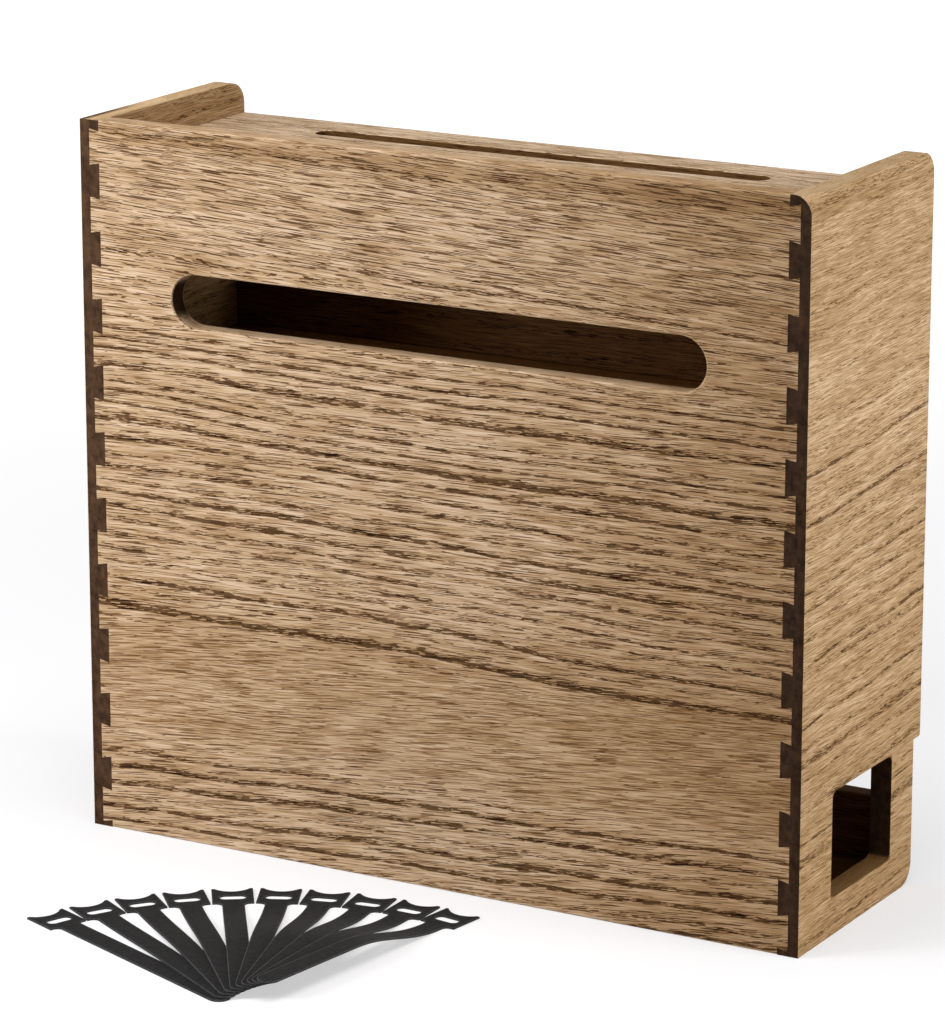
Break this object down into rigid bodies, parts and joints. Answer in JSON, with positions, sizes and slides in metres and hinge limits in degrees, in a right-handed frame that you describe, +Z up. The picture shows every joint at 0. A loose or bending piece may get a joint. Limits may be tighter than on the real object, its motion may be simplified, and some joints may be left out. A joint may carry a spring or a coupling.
{
  "type": "desk cable organizer",
  "caption": "Wooden desk cable organizer box with a dovetailed front, phone slot on top, shelf, open back, side cut-outs and loose hook-and-loop cable ties.",
  "frame": {"origin": "on the floor under the middle of the box, in the underside of the bottom board", "axes": "+X to the right along the width, +Y from the front panel to the open back, +Z up"},
  "size_m": [0.4, 0.3187, 0.366],
  "materials": {
    "front_wood": "open-pored, matt oiled",
    "side_wood": "open-pored, matt oiled",
    "inner_wood": "open-pored, matt oiled",
    "dowel_wood": "raw",
    "tie_fabric": "napped hook-and-loop"
  },
  "bodies": {
    "box": {"front_panel": "front_wood", "left_side": "side_wood", "right_side": "side_wood", "top_board": "front_wood", "middle_shelf": "inner_wood", "bottom_board": "inner_wood", "shelf_rail": "inner_wood", "base_rail": "inner_wood", "top_board_dowels": "dowel_wood", "middle_shelf_dowels": "dowel_wood", "bottom_board_dowels": "dowel_wood", "shelf_rail_dowels": "dowel_wood", "base_rail_dowels": "dowel_wood"},
    "tie_fan": {"cable_tie_01": "tie_fabric", "cable_tie_02": "tie_fabric", "cable_tie_03": "tie_fabric", "cable_tie_04": "tie_fabric", "cable_tie_05": "tie_fabric", "cable_tie_06": "tie_fabric", "cable_tie_07": "tie_fabric", "cable_tie_08": "tie_fabric", "cable_tie_09": "tie_fabric", "cable_tie_10": "tie_fabric"}
  },
  "joints": [
    {"name": "tie_fan_lift", "type": "slide", "parent": "box", "child": "tie_fan", "axis": [0, 0, 1], "range_m": [0, 0.15]}
  ]
}
